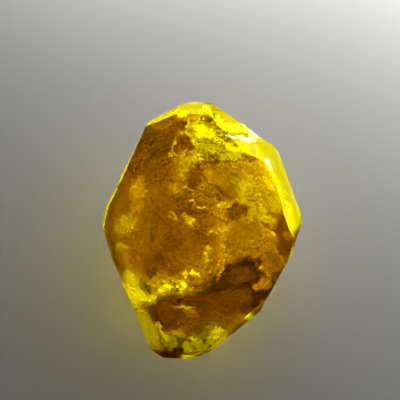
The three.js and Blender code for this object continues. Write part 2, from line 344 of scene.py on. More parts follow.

# %% [markdown]
# ## Iron stain and painted shade
#
# A film of rust on the break, thick in its hollows and cracks, gives part of the amber and the dark brown.
# The rest is painted shade, laid where less light comes through the stone: the garnet itself is lemon to
# honey all through. A stain could be a picture wrapped on the stone. Here each point of the break gets a
# number from 0, clean, to 1, dark brown, rust and painted shade together, and a second number for a grey
# painted shade. Both are brushed on in soft spots, one over another, with edges that are wavy and step
# along small facets, as rust creeps under one flake and stops at the next. Then the brown is drawn along
# the larger cracks, and thin paler streaks on the rough parts are painted highlights.

# %% Paint the stain and the painted shade
BARE_RUST_AND_SHADE = 0.45  # how brown the break is where no spot is brushed on, rust and painted shade together
SPOT_REACH, SPOT_SOFTNESS = 1.25, 0.5  # where a spot ends and how soft its edge is, as shares of its size
SPOTS = [
    # x, y, half length, half width, which way it runs in degrees, how brown (rust and painted shade), how
    # much grey painted shade
    # the large areas
    (-9.0, 14.0, 7.5, 5.0, 70, 0.77, 0.6),
    (-5.5, 0.0, 9.0, 8.0, 90, 0.82, 0.42),
    (3.5, 9.0, 7.0, 4.0, 0, 0.48, 0.58),
    (10.5, 6.0, 5.5, 4.5, 60, 0.4, 0.2),
    (3.0, 15.6, 7.2, 3.2, -22, 0.29, 0.56),
    (-14.5, 0.5, 8.5, 3.6, 90, 0.64, 0.46),
    (7.2, -1.5, 3.8, 3.0, 60, 0.6, 0.4),
    (15.5, -0.5, 3.5, 2.6, -45, 0.95, 0.35),
    (7.0, -9.8, 8.5, 4.6, 20, 1.05, 0.95),
    (-2.0, -14.5, 8.5, 3.2, 5, 0.98, 0.64),
    (0.5, -16.8, 5.5, 1.8, 8, 0.7, 0.75),
    (12.8, -6.3, 3.0, 2.0, 30, 0.6, 0.45),
    (12.2, -8.7, 1.9, 1.2, 30, 0.85, 0.5),
    (-7.5, -10.0, 6.5, 2.2, 14, 0.44, 0.25),
    (-0.5, -6.5, 4.0, 2.2, 40, 0.6, 0.34),
    (-1.0, -20.6, 7.5, 2.6, 14, 0.32, 0.92),
    (-9.9, -17.5, 4.5, 1.5, -68, 0.2, 0.7),
    # the upper left and the crinkled top
    (-12.2, 11.0, 3.2, 1.6, 62, 0.88, 0.3),
    (-7.6, 18.6, 2.4, 0.9, 15, 0.6, 0.2),
    (-4.6, 18.4, 1.6, 1.3, 60, 0.9, 0.3),
    (-3.0, 15.2, 1.3, 0.9, -30, 0.9, 0.35),
    (-4.8, 15.4, 1.1, 0.35, 70, 0.3, 0.0),
    (-3.1, 18.9, 1.0, 0.22, 90, 0.1, 0.0),
    (-5.0, 13.6, 1.2, 0.3, -30, 0.35, 0.1),
    (3.2, 18.8, 3.4, 0.6, -30, 0.55, 0.5),
    (7.4, 16.3, 2.2, 0.8, -38, 0.5, 0.45),
    (-0.6, 17.8, 1.6, 0.8, -40, 0.0, 0.0),
    (2.4, 16.3, 1.9, 0.6, -32, 0.02, 0.0),
    (5.8, 14.4, 1.5, 0.6, -25, 0.08, 0.15),
    (-1.2, 12.9, 1.4, 0.7, 20, 0.25, 0.2),
    (8.3, 13.0, 1.6, 0.5, 0, 0.7, 0.3),
    (-1.0, 21.4, 4.6, 0.7, 3, 0.0, 0.0),
    # the middle
    (-1.5, 8.9, 2.6, 1.3, 65, 0.86, 0.4),
    (1.8, 9.4, 2.4, 1.3, -30, 0.58, 0.0),
    (-4.6, 7.7, 1.4, 0.9, 80, 0.55, 0.1),
    (6.0, 3.2, 2.0, 1.2, 40, 0.85, 0.3),
    (-0.2, 3.9, 1.6, 0.35, -12, 0.3, 0.0),
    (2.9, 4.7, 1.1, 0.5, 10, 0.4, 0.0),
    (-3.0, 2.0, 1.5, 0.6, -55, 0.42, 0.0),
    (-5.5, 2.4, 1.2, 0.5, -50, 0.45, 0.0),
    (-1.9, 5.0, 0.9, 0.3, 60, 0.35, 0.0),
    (-2.3, 7.3, 1.3, 0.25, -55, 0.45, 0.0),
    (-6.6, -3.6, 3.2, 2.0, 20, 0.92, 0.5),
    (-9.2, 0.5, 4.0, 1.4, 90, 0.74, 0.52),
    (0.6, -4.3, 1.5, 0.8, 55, 0.42, 0.1),
    (2.6, 0.5, 2.2, 0.4, 30, 0.5, 0.0),
    # the left
    (-11.3, 7.4, 2.0, 1.3, 60, 0.52, 0.15),
    (-11.2, 4.0, 1.4, 1.0, 50, 0.55, 0.2),
    (-13.8, 1.0, 2.2, 1.6, 70, 0.46, 0.2),
    (-14.3, -3.1, 1.7, 0.8, -20, 0.46, 0.15),
    (-13.4, -5.8, 1.9, 1.2, -50, 0.52, 0.2),
    (-12.8, -8.2, 1.8, 1.2, -50, 0.22, 0.15),
    (-16.7, 1.8, 1.6, 0.6, 80, 0.75, 0.15),
    # the right
    (10.6, 6.8, 2.8, 1.8, 70, 0.45, 0.12),
    (11.8, 8.4, 1.2, 0.4, -50, 0.35, 0.0),
    (10.4, 4.7, 0.9, 0.6, 60, 0.34, 0.0),
    (8.2, 9.6, 1.6, 1.2, 0, 0.5, 0.15),
    (8.5, 2.9, 1.4, 0.4, 40, 0.42, 0.0),
    (15.2, -0.9, 1.5, 0.8, -45, 0.6, 0.1),
    (17.2, -1.8, 2.2, 0.7, 75, 0.9, 0.1),
    (14.2, -3.4, 3.0, 0.6, -42, 0.95, 0.2),
    (11.2, -3.0, 2.2, 1.4, 20, 0.66, 0.1),
    # the groove and the dark crackle beside it
    (-12.6, -11.6, 2.0, 1.2, -62, 0.02, 0.0),
    (-10.0, -11.9, 1.8, 1.2, 0, 0.1, 0.0),
    (-5.4, -10.4, 2.6, 0.8, 10, 0.05, 0.0),
    (-1.3, -7.8, 0.75, 0.5, -20, 0.14, 0.1),
    (-3.1, -8.0, 1.0, 0.6, -70, 0.3, 0.1),
    (3.0, -7.2, 1.2, 0.5, 65, 0.5, 0.1),
    (6.6, -8.2, 2.6, 1.1, 8, 1.0, 0.6),
    (5.6, -12.2, 3.4, 1.8, 10, 1.0, 0.68),
    (10.6, -9.6, 1.4, 1.0, 30, 0.65, 0.0),
    (-3.0, -14.0, 2.0, 0.25, 2, 0.4, 0.0),
    (-2.2, -14.9, 1.8, 0.7, 0, 0.85, 0.2),
    # the foot
    (-7.0, -18.6, 2.2, 0.5, -80, 0.03, 0.1),
    (-5.6, -20.6, 1.0, 0.6, 40, 0.2, 0.45),
    (-3.0, -21.0, 0.9, 0.7, 60, 0.1, 0.3),
    (-1.2, -20.4, 1.1, 0.8, -30, 0.08, 0.2),
    (3.2, -18.4, 1.4, 0.7, 30, 0.15, 0.4),
    (1.2, -20.4, 1.6, 0.6, 35, 0.15, 0.5),
    (6.5, -16.4, 1.8, 0.8, 30, 0.6, 0.5),
    (9.2, -15.2, 1.6, 0.6, 30, 0.62, 0.1),
    (-5.8, -22.4, 2.4, 0.9, 0, 1.0, 0.5),
]
CRACKS = [
    # half width, how brown, points along it
    (0.14, 0.9, [(10.4, 1.3), (12.0, 0.5), (13.6, -1.1), (15.2, -2.6), (16.9, -3.9)]),
    (0.12, 0.6, [(11.6, 2.9), (14.0, 2.6), (16.0, 2.1), (17.6, 1.3)]),
    (0.16, 0.5, [(-9.0, -13.5), (-8.0, -12.7), (-5.0, -12.0), (-2.0, -11.6), (1.0, -11.1), (3.2, -10.2)]),
    (0.15, 0.4, [(-8.5, 8.6), (-6.5, 9.0), (-4.0, 8.6), (-1.5, 7.2), (2.0, 6.4), (5.5, 5.8)]),
    (0.1, 0.5, [(-6.2, 5.9), (-3.0, 5.6), (0.0, 6.0), (3.0, 5.6)]),
    (0.12, 0.6, [(-0.9, 11.2), (0.0, 9.6), (1.8, 7.9), (4.6, 6.2)]),
    (0.12, 0.5, [(-3.4, 19.9), (-3.6, 18.0), (-2.3, 16.0), (-1.7, 14.6), (-3.2, 12.8)]),
    (0.12, 0.4, [(-1.0, 11.9), (3.0, 12.1), (7.0, 12.3), (9.6, 12.6), (9.7, 14.5), (9.2, 16.2)]),
    (0.12, 0.5, [(-4.0, 3.6), (-1.8, 3.2), (0.8, 3.0), (2.8, 2.2), (4.4, 1.2)]),
    (0.14, 0.5, [(4.2, 1.0), (5.4, 2.2), (6.6, 3.4), (8.2, 4.0)]),
    (0.16, 0.5, [(-2.0, -9.8), (1.5, -9.2), (4.5, -7.4), (8.0, -5.9), (10.4, -4.6)]),
    (0.12, 0.5, [(0.5, -2.6), (-0.8, -5.0), (-3.4, -6.6), (-6.5, -8.2), (-9.4, -9.4)]),
    (0.1, 0.6, [(-7.0, -11.0), (-5.0, -11.1), (-3.6, -9.9), (-5.0, -8.9)]),
    (0.1, 0.5, [(1.2, -6.4), (0.6, -8.4), (0.0, -9.6)]),
    (0.1, 0.5, [(2.2, -6.2), (1.6, -8.0), (1.6, -9.2)]),
    (0.12, 0.5, [(-8.1, -14.6), (-7.9, -17.0), (-7.6, -19.4), (-6.8, -21.4)]),
    (0.1, 0.6, [(-12.6, -9.9), (-11.9, -9.8), (-11.8, -10.6), (-12.3, -10.9), (-12.7, -10.4)]),
    (0.12, 0.5, [(-9.4, 3.4), (-7.8, 2.6), (-6.4, 1.0), (-5.6, 0.2)]),
]


def along(place, start, end):
    """How far a place is from a straight stretch, in mm."""
    share = min(max((place - start).dot(end - start) / (end - start).length_squared, 0), 1)
    return (place - start.lerp(end, share)).length


def spotted(place):
    """The brown of a place, rust and painted shade together, and its grey painted shade, with every spot
    brushed over the ones before it.
    """
    rust_and_shade, painted_shade = BARE_RUST_AND_SHADE, 0
    for u, v, half_length, half_width, degrees, spot_rust_and_shade, spot_painted_shade in SPOTS:
        away = place - Vector((u, v))
        if away.length < SPOT_REACH * half_length:
            away.rotate(Matrix.Rotation(-math.radians(degrees), 2))
            out = math.hypot(away.x / half_length, away.y / half_width)
            share = smooth_step((SPOT_REACH - out) / SPOT_SOFTNESS)
            rust_and_shade += (spot_rust_and_shade - rust_and_shade) * share
            painted_shade += (spot_painted_shade - painted_shade) * share
    return rust_and_shade, painted_shade


def wandering(p, by, apart):
    """A place on the break, moved about by noise so that what is drawn there gets a natural edge."""
    q = p / apart
    return p.xy + by * Vector((noise.noise(q), noise.noise(elsewhere(q, 7))))


FACET = 1.0  # mm across
FACETED = 0.5  # 1 gives every facet one flat tone
WAVY_EDGE, RAGGED_EDGE, WAVY_CRACK = (1.0, 2.6), (0.5, 0.8), (0.5, 0.9)  # mm of wander, over what length
PATCH, CHIP = 2.3, 0.8  # mm across the areas of one tone
PATCH_TONE, CHIP_TONE = 0.05, 0.1  # how much their tones differ
PAINTED_GLINT, PAINTED_GLINTS_APART = 0.25, 0.7  # how much paler the thin painted highlight streaks are, and how far apart
CRACK_STAIN, CREASE_STAIN, ROUGH_STAIN = 0.6, 0.25, 0.03


def facet_middle(p):
    """The middle of the small facet that a point of the break lies on."""
    q = p * 1.3
    wavy = p + 0.25 * Vector((noise.noise(q), noise.noise(elsewhere(q, 4)), 0))
    return noise.voronoi(wavy / FACET)[1][0] * FACET


def tone_and_painted_glints(p, rough, grain):
    """How much browner a point is than what was brushed on: each small area has its own tone, and where
    the break is rough, thin paler streaks run between them, which are painted highlights."""
    wavy = 0.3 * Vector((noise.noise(p), noise.noise(p * 1.1), 0))
    patch = noise.voronoi(stretched(p, grain, 1.6) / PATCH + wavy)[1][0]
    chip = noise.voronoi(stretched(p, grain, 2.0) / CHIP)[1][0]
    # painted highlights: thin paler streaks along the rough parts
    glint_streaks = folds(elsewhere(stretched(p, grain, 3.5), 2, 8, 3), PAINTED_GLINTS_APART)
    painted_glints = crest_above(glint_streaks, FOLD_CREST)
    mosaic = PATCH_TONE * noise.cell(patch * 5.3) + CHIP_TONE * rough * noise.cell(chip * 7.7)
    return mosaic + ROUGH_STAIN * rough - PAINTED_GLINT * rough * painted_glints


def rust_and_shade_at(p, rough, grain):
    """How brown the break is at a point, rust and painted shade together, and how much grey painted shade
    it has.
    """
    place = wandering(p, *WAVY_EDGE) + wandering(p, *RAGGED_EDGE) - p.xy
    place += FACETED * (facet_middle(p) - p).xy
    rust_and_shade, painted_shade = spotted(place)
    place = wandering(p, *WAVY_CRACK)
    for half_width, darker, route in CRACKS:
        points = [Vector(point) for point in route]
        gap = min(along(place, a, b) for a, b in zip(points, points[1:]))
        if gap < 2 * half_width:
            rust_and_shade += CRACK_STAIN * darker * (1 - 0.5 * rust_and_shade) * smooth_step(2 - gap / half_width)
    rust_and_shade += tone_and_painted_glints(p, rough, grain) * (0.4 + 0.5 * rust_and_shade)
    return rust_and_shade, painted_shade


# Rust tint and painted shade for each point of the break
rust_and_shade_of = {}
stone.verts.index_update()
for point in stone.verts:
    if not all(face[plane_of] for face in point.link_faces):
        p = to_stone(point.co)
        rust_and_shade, painted_shade = rust_and_shade_at(p, *hackly(p.x, p.y))
        rust_and_shade_of[point.index] = (rust_and_shade + CREASE_STAIN * point[crease_of] * (0.4 + rust_and_shade), painted_shade)
average = sum(rust_and_shade for rust_and_shade, _ in rust_and_shade_of.values()) / len(rust_and_shade_of)
print("stained", len(rust_and_shade_of), "points, on average", round(average, 2))

# %% [markdown]
# ## Feathers
#
# A feather is a crack that never reached the surface: a lens of air a few hundredths of a millimetre
# thick, bent and ragged, that flashes like a mirror inside the stone. The crystal gets about thirty,
# gathered under the hackly patches. Each could be modelled, but they repeat, so Geometry Nodes make them.
# A script picks where each one lies, as the points of a mesh with a size and a direction. One that comes
# too near the surface shrinks until it fits, or is left out.

# %% Choose where the feathers lie
FIELDS = [
    # x, y, radius x, radius y, least and most depth, which way they face, their tilt and its spread in
    # degrees, how many, half length, half width
    (2.8, 16.2, 6.6, 3.8, 0.8, 3.5, 88, 57, 16, 12, 1.8, 1.0),
    (0.0, 3.5, 7.0, 5.0, 1.5, 5.0, 80, 50, 30, 5, 0.8, 0.5),
    (10.0, 5.0, 3.5, 4.0, 1.2, 4.0, 60, 55, 20, 2, 0.4, 0.3),
    (-6.0, -9.0, 7.5, 2.4, 0.6, 2.6, 199, 50, 12, 9, 1.6, 1.0),
    (7.0, -7.5, 5.0, 3.0, 1.5, 4.0, 80, 50, 25, 4, 1.2, 0.8),
]
HALF_GAP = 0.03
LEAST_COVER = 0.35  # mm of sound stone round a feather
RIM_STEPS, RAGGED_REACH = 12, 1.3  # where the cover is tested, and how far out, for the rim is ragged
SIZES = (0.6, 1.3)  # shares of a field's own feather size
LEAST_SIZE, SHRINK = 0.25, 0.85  # one without cover shrinks in steps, and below the least size it goes
LENS_SEGMENTS, LENS_RINGS = 28, 14
WAVINESS, WAVES_APART, RAGGEDNESS = 0.35, 2.2, 0.3  # mm, mm, and a share of the radius
dice = random.Random(64)


def break_height(x, y):
    """How high the break is over a point, or None beyond its rim."""
    top = to_scene(Vector((x, y, 30)))
    hit = shell.ray_cast(top, to_scene(Vector((x, y, 0))) - top)[0]
    return to_stone(hit).z if hit else None


def cover(point):
    """How much stone there is round a point, in mm; less than nothing outside the stone."""
    place = to_scene(point)
    nearest, normal, _, gap = shell.find_nearest(place)
    return math.copysign(gap, (nearest - place).dot(normal)) / MM


def fits(middle, long_way, wide_way, half_length, half_width):
    """Whether a feather keeps its cover all round its rim."""
    turns = [2 * math.pi * step / RIM_STEPS for step in range(RIM_STEPS)]
    along_way, across_way = long_way * half_length, wide_way * half_width
    rim = [along_way * math.cos(turn) + across_way * math.sin(turn) for turn in turns]
    return all(cover(middle + RAGGED_REACH * reach) > LEAST_COVER for reach in rim)


feathers = []
for x0, y0, radius_x, radius_y, near, far, azimuth, tilt, spread, many, half_length, half_width in FIELDS:
    for _ in range(many):
        turn, out = dice.uniform(0, 2 * math.pi), math.sqrt(dice.random())
        x, y = x0 + radius_x * out * math.cos(turn), y0 + radius_y * out * math.sin(turn)
        a = math.radians(azimuth + dice.gauss(0, spread))
        t = math.radians(tilt + dice.gauss(0, spread / 2))
        scale, depth = dice.uniform(*SIZES), dice.uniform(near, far)
        top = break_height(x, y)
        if top is None:
            continue
        middle = Vector((x, y, top - depth))
        facing = Vector((math.sin(t) * math.cos(a), math.sin(t) * math.sin(a), math.cos(t)))
        long_way = Vector((-math.sin(a), math.cos(a), 0))
        wide_way = facing.cross(long_way)
        length, width = half_length * scale, half_width * scale
        while scale > LEAST_SIZE and not fits(middle, long_way, wide_way, length, width):
            scale *= SHRINK
            length, width = half_length * scale, half_width * scale
        if scale > LEAST_SIZE:
            turned = LAY_DOWN @ Matrix((long_way, wide_way, facing)).transposed()
            feathers.append((to_scene(middle), turned, length, width))
print("feathers:", len(feathers))

# %% [markdown]
# A loop could copy the lenses too, but a tree of nodes makes them all at once and bends each one where it
# lies. It puts a ball on every point, squashes it to a lens, roughens its rim and bends it by noise. Then
# it turns the faces inwards, because the lens is a hollow.

# %% The tree that makes a feather on every point
def feather_tree():
    """Takes points with the attributes turn, size, facing and middle, and gives closed lenses whose faces
    look inwards."""
    tree = bpy.data.node_groups.new("feathers", "GeometryNodeTree")
    new_socket = tree.interface.new_socket
    new_socket("Geometry", in_out="INPUT", socket_type="NodeSocketGeometry")
    new_socket("Waviness", in_out="INPUT", socket_type="NodeSocketFloat")
    new_socket("Waves per metre", in_out="INPUT", socket_type="NodeSocketFloat")
    new_socket("Raggedness", in_out="INPUT", socket_type="NodeSocketFloat")
    new_socket("Material", in_out="INPUT", socket_type="NodeSocketMaterial")
    new_socket("Geometry", in_out="OUTPUT", socket_type="NodeSocketGeometry")
    given = add_node(tree, "NodeGroupInput").outputs

    def stored(name):
        vector = {"data_type": "FLOAT_VECTOR"}
        return add_node(tree, "GeometryNodeInputNamedAttribute", vector, Name=name).outputs["Attribute"]

    def vector_math(operation, **links):
        return add_node(tree, "ShaderNodeVectorMath", {"operation": operation}, **links).outputs[0]

    def plus_or_minus(amount, source):
        """Noise from 0 to 1 as a number either side of nothing."""
        ends = {"From_Min": 0.2, "From_Max": 0.8, "To_Min": -1.0, "To_Max": 1.0}
        level = add_node(tree, "ShaderNodeMapRange", None, Value=source, **ends).outputs["Result"]
        return add_node(tree, "ShaderNodeMath", {"operation": "MULTIPLY"}, _0=level, _1=amount).outputs[0]

    ball = {"Segments": LENS_SEGMENTS, "Rings": LENS_RINGS, "Radius": 1.0}
    lens = add_node(tree, "GeometryNodeMeshUVSphere", None, **ball)
    placed = add_node(
        tree,
        "GeometryNodeInstanceOnPoints",
        Points=given["Geometry"],
        Instance=lens.outputs["Mesh"],
        Rotation=stored("turn"),
        Scale=stored("size"),
    )
    lenses = add_node(tree, "GeometryNodeRealizeInstances", Geometry=placed.outputs[0]).outputs[0]
    position = add_node(tree, "GeometryNodeInputPosition").outputs[0]
    outwards = vector_math("SUBTRACT", _0=position, _1=stored("middle"))
    way = vector_math("NORMALIZE", _0=outwards)
    own_noise = vector_math("MULTIPLY_ADD", _0=stored("middle"), _1=(5000.0, 5000.0, 5000.0), _2=way)
    rim_noise = add_node(tree, "ShaderNodeTexNoise", None, Vector=own_noise, Scale=1.3, Detail=2.0)
    in_or_out = plus_or_minus(given["Raggedness"], rim_noise.outputs[0])
    ragged = vector_math("SCALE", _0=outwards, Scale=in_or_out)
    shifted = vector_math("MULTIPLY_ADD", _0=stored("middle"), _1=(9.0, 9.0, 9.0), _2=position)
    wave_noise = add_node(
        tree,
        "ShaderNodeTexNoise",
        Vector=shifted,
        Scale=given["Waves per metre"],
        Detail=3.0,
        Roughness=0.6,
    ).outputs[0]
    bent = vector_math("SCALE", _0=stored("facing"), Scale=plus_or_minus(given["Waviness"], wave_noise))
    offset = vector_math("ADD", _0=ragged, _1=bent)
    moved = add_node(tree, "GeometryNodeSetPosition", Geometry=lenses, Offset=offset).outputs[0]
    inwards = add_node(tree, "GeometryNodeFlipFaces", Mesh=moved).outputs[0]
    finished = add_node(tree, "GeometryNodeSetMaterial", Geometry=inwards, Material=given["Material"])
    add_node(tree, "NodeGroupOutput", Geometry=finished.outputs[0])
    return tree


# %% [markdown]
# A modifier runs the tree once, new_from_object turns the result into a plain mesh, and the lenses join
# the crystal's own mesh as hollows in it. Their faces look into the gap, away from the stone, as every
# face of a solid looks away from its matter. That is what tells the renderer that the ray leaves the
# garnet there.

# %% Make the feathers
garnet = bpy.data.materials.new("clear honey garnet")  # its nodes come further down
feather_mesh = bpy.data.meshes.new("feather points")
feather_mesh.from_pydata([middle for middle, _, _, _ in feathers], [], [])
spread_values = {
    "middle": [middle for middle, _, _, _ in feathers],
    "turn": [turned.to_euler() for _, turned, _, _ in feathers],
    "facing": [turned.col[2] for _, turned, _, _ in feathers],
    "size": [Vector((length, width, HALF_GAP)) * MM for _, _, length, width in feathers],
}
for name, values in spread_values.items():
    attribute = feather_mesh.attributes.new(name, "FLOAT_VECTOR", "POINT")
    attribute.data.foreach_set("vector", [number for value in values for number in value])
feather_points = bpy.data.objects.new("feather points", feather_mesh)
bpy.context.scene.collection.objects.link(feather_points)

tree = feather_tree()
modifier = feather_points.modifiers.new("feathers", "NODES")
modifier.node_group = tree
inputs = {
    "Waviness": WAVINESS * MM,
    "Waves per metre": 1 / (WAVES_APART * MM),
    "Raggedness": RAGGEDNESS,
    "Material": garnet,
}
for item in tree.interface.items_tree:
    if item.in_out == "INPUT" and item.name in inputs:
        modifier[item.identifier] = inputs[item.name]
evaluated = feather_points.evaluated_get(bpy.context.evaluated_depsgraph_get())
lens_mesh = bpy.data.meshes.new_from_object(evaluated)
bpy.data.objects.remove(feather_points)

stone_faces = len(stone.faces)
stone.from_mesh(lens_mesh)
bmesh.ops.triangulate(stone, faces=[face for face in stone.faces if len(face.verts) > 3])
stone.faces.ensure_lookup_table()
stone.verts.index_update()
print("with feathers:", len(stone.faces), "triangles")

# %% [markdown]
# ## What the material has to know
#
# The material must tell a crystal face from the break, and how much rust and painted shade each spot has.
# It could guess both from directions, but the mesh knows them, so they are stored on it: a mark on each
# face, and the stain and painted shade at each corner of it, so that they stop dead at the rim. Crystal
# faces are shaded flat, and the break is shaded smooth between its sharp ridges.

# %% Store marks, stain and painted shade on the mesh
SHARP_RIDGE = math.radians(32)
CLEAN = (0, 0)  # neither stain nor painted shade

face_marks, break_marks, corner_rust_and_shade = [], [], []
for index, face in enumerate(stone.faces):
    in_stone = index < stone_faces
    face_marks.append(float(in_stone and face[plane_of] > 0))
    break_marks.append(float(in_stone and not face[plane_of]))
    for corner in face.loops:
        corner_rust_and_shade.append(rust_and_shade_of.get(corner.vert.index, CLEAN) if break_marks[-1] else CLEAN)
    face.smooth = not face_marks[-1]
stone.to_mesh(crystal_mesh)
stone.free()
for name, domain, values in (
    ("crystal face", "FACE", face_marks),
    ("break", "FACE", break_marks),
    ("stain_and_shade", "CORNER", [rust_and_shade for rust_and_shade, _ in corner_rust_and_shade]),
    ("painted_shade", "CORNER", [painted_shade for _, painted_shade in corner_rust_and_shade]),
):
    crystal_mesh.attributes.new(name, "FLOAT", domain).data.foreach_set("value", values)
crystal_mesh.set_sharp_from_angle(angle=SHARP_RIDGE)
print("crystal faces:", int(sum(face_marks)), "triangles; break:", int(sum(break_marks)))

# %% [markdown]
# ## Garnet
#
# Grossular is a clear silicate with an index of refraction near 1.735, far above glass, so it flashes and
# traps light. Its colour is in its depth: iron takes the blue out of light over a few millimetres, and
# the volume does that. The stain, rust and painted shade together, is painted on the surface, so it tints
# the surface.

# %% Nodes that the garnet uses again and again
garnet.use_nodes = True
tree = garnet.node_tree
tree.nodes.clear()
place = add_node(tree, "ShaderNodeTexCoord").outputs["Object"]


def stored(name):
    """A number that was stored on the mesh."""
    return add_node(tree, "ShaderNodeAttribute", {"attribute_name": name}).outputs["Fac"]


def maths(operation, a, b=0.0, c=0.0, clamp=False):
    """A sum, product or the like of numbers or sockets."""
    settings = {"operation": operation, "use_clamp": clamp}
    return add_node(tree, "ShaderNodeMath", settings, _0=a, _1=b, _2=c).outputs[0]


def vector_maths(operation, a, b):
    """The same for vectors."""
    return add_node(tree, "ShaderNodeVectorMath", {"operation": operation}, _0=a, _1=b).outputs[0]


def blotches(apart, strength, detail=3.0):
    """Noise with blotches so many mm apart, as a number either side of nothing."""
    size = {"Scale": 1 / (apart * MM), "Detail": detail}
    source = add_node(tree, "ShaderNodeTexNoise", None, Vector=place, **size)
    ends = {"From_Min": 0.25, "From_Max": 0.75, "To_Min": -strength, "To_Max": strength}
    return add_node(tree, "ShaderNodeMapRange", None, Value=source.outputs[0], **ends).outputs["Result"]


on_break_here, on_faces, hackly_here = stored("break"), stored("crystal face"), stored("hackly")
centred = vector_maths("SUBTRACT", place, tuple(MIDDLE * MM))
about_x = {"rotation_type": "X_AXIS"}
upright = add_node(tree, "ShaderNodeVectorRotate", about_x, Vector=centred, Angle=-LEAN).outputs[0]
depth = add_node(tree, "ShaderNodeSeparateXYZ", Vector=upright).outputs["Z"]

# %% [markdown]
# The points of the break are a seventh of a millimetre apart, and grains of rust are finer still, so
# noise adds those: soft clouds 3 mm apart, and grit every half millimetre, which is strongest where the
# break is hackly.

# %% The stain's finest grains
CLOUDS_APART, CLOUDS = 3.2, 0.08
GRIT_APART, GRIT = 0.5, 0.3

stain_and_shade_here = stored("stain_and_shade")
grit = maths("MULTIPLY", blotches(GRIT_APART, GRIT), maths("MULTIPLY_ADD", hackly_here, 0.8, 0.6))
grains = maths("ADD", blotches(CLOUDS_APART, CLOUDS), grit)
grains = maths("MULTIPLY", grains, maths("MULTIPLY_ADD", stain_and_shade_here, 0.45, 0.4))
painted = maths("MULTIPLY_ADD", grains, on_break_here, stain_and_shade_here)

# %% [markdown]
# The crystal faces are clean but for a few places at the rim, which are browned and greyed, partly rust and
# partly painted shade. Their triangles are far too large to carry a spot, so these few are worked out in
# the material, from the distance to a point in the stone's own axes.

# %% Stained places on the crystal faces, rust and painted shade
FACE_SPOTS = [
    # x, y, radius, how brown (rust and painted shade), how much grey painted shade
    (-6.4, -23.0, 3.6, 1.0, 0.85),
    (-9.7, -14.8, 1.9, 0.45, 0.5),
    (-9.4, -18.6, 3.0, 0.2, 0.65),
    (0.5, -23.2, 3.4, 0.4, 0.6),
    (6.5, -17.6, 3.2, 0.6, 0.7),
    (10.5, -14.0, 3.2, 0.65, 0.7),
    (14.0, -10.0, 3.2, 0.75, 0.6),
    (18.2, -1.8, 3.2, 0.75, 0.6),
    (-17.6, -2.2, 3.0, 0.5, 0.4),
    (-15.8, -7.0, 3.6, 0.4, 0.3),
]
SPOTS_FADE, SPOTS_END = 0.0, -4.0  # mm of the stone's own height, between which they fade away
SPOT_CORE = 0.4  # the share of its radius that is evenly stained
SOFTLY = {"interpolation_type": "SMOOTHSTEP"}

flat = vector_maths("MULTIPLY", upright, (1, 1, 0))
fade = {"From_Min": SPOTS_END * MM, "From_Max": SPOTS_FADE * MM, "To_Min": 0.0, "To_Max": 1.0}
near_rim = add_node(tree, "ShaderNodeMapRange", SOFTLY, Value=depth, **fade)
near_rim = maths("MULTIPLY", near_rim.outputs["Result"], on_faces)
face_rust_and_shade = face_painted_shade = 0.0
for x, y, radius, rust_and_shade, painted_shade in FACE_SPOTS:
    middle = (x * MM, y * MM, 0)
    away = add_node(tree, "ShaderNodeVectorMath", {"operation": "DISTANCE"}, _0=flat, _1=middle)
    ends = {"From_Min": radius * MM, "From_Max": SPOT_CORE * radius * MM, "To_Min": 0.0, "To_Max": 1.0}
    soft = add_node(tree, "ShaderNodeMapRange", SOFTLY, Value=away.outputs["Value"], **ends)
    here = maths("MULTIPLY", soft.outputs["Result"], near_rim)
    face_rust_and_shade = maths("MAXIMUM", face_rust_and_shade, maths("MULTIPLY", here, rust_and_shade))
    face_painted_shade = maths("MAXIMUM", face_painted_shade, maths("MULTIPLY", here, painted_shade))
print("stained places on the crystal faces:", len(FACE_SPOTS))

# %% [markdown]
# Clean stone barely tints the light, a thin film makes it amber and a thick one a dark red-brown, and the
# same browns also carry painted shade. Light passes the surface twice, on its way in and on its way out,
# and the shader takes a root of the colour for each, so these colours are those of both passes. Grey
# painted shade lets less through without changing its colour.

# %% From stain and painted shade to colour
RUST_AND_SHADE_COLOURS = [(0.0, "#fff63c"), (0.5, "#7c4107"), (0.75, "#5a2404"), (1.0, "#300a02")]
# the grey that full painted shade multiplies the colour by
DARKEST_PAINTED_SHADE = (0.02, 0.02, 0.02, 1.0)

rust_and_shade_ramp = add_node(tree, "ShaderNodeValToRGB", Fac=maths("ADD", painted, face_rust_and_shade, clamp=True))
ramp = rust_and_shade_ramp.color_ramp
ramp.elements.remove(ramp.elements[1])
ramp.elements[0].position, ramp.elements[0].color = RUST_AND_SHADE_COLOURS[0][0], linear(RUST_AND_SHADE_COLOURS[0][1])
for position, colour in RUST_AND_SHADE_COLOURS[1:]:
    ramp.elements.new(position).color = linear(colour)
# Painted shade: the grey number darkens the colour towards that grey.
dimmed = add_node(
    tree,
    "ShaderNodeMix",
    {"data_type": "RGBA", "blend_type": "MULTIPLY"},
    _0=maths("ADD", stored("painted_shade"), face_painted_shade, clamp=True),
    _6=rust_and_shade_ramp.outputs["Color"],
    _7=DARKEST_PAINTED_SHADE,
)

# %% [markdown]
# Under a lens the break has a sharp fine crackle, and the crystal faces have low hillocks where the
# crystal grew. Both are a few hundredths of a millimetre high, so a bump is enough.

# %% Crackle and hillocks
CRACKLE_APART, HILLOCKS_APART = 0.9, 1.6
BUMP_HEIGHT, BUMP_STRENGTH = 0.05, 0.5

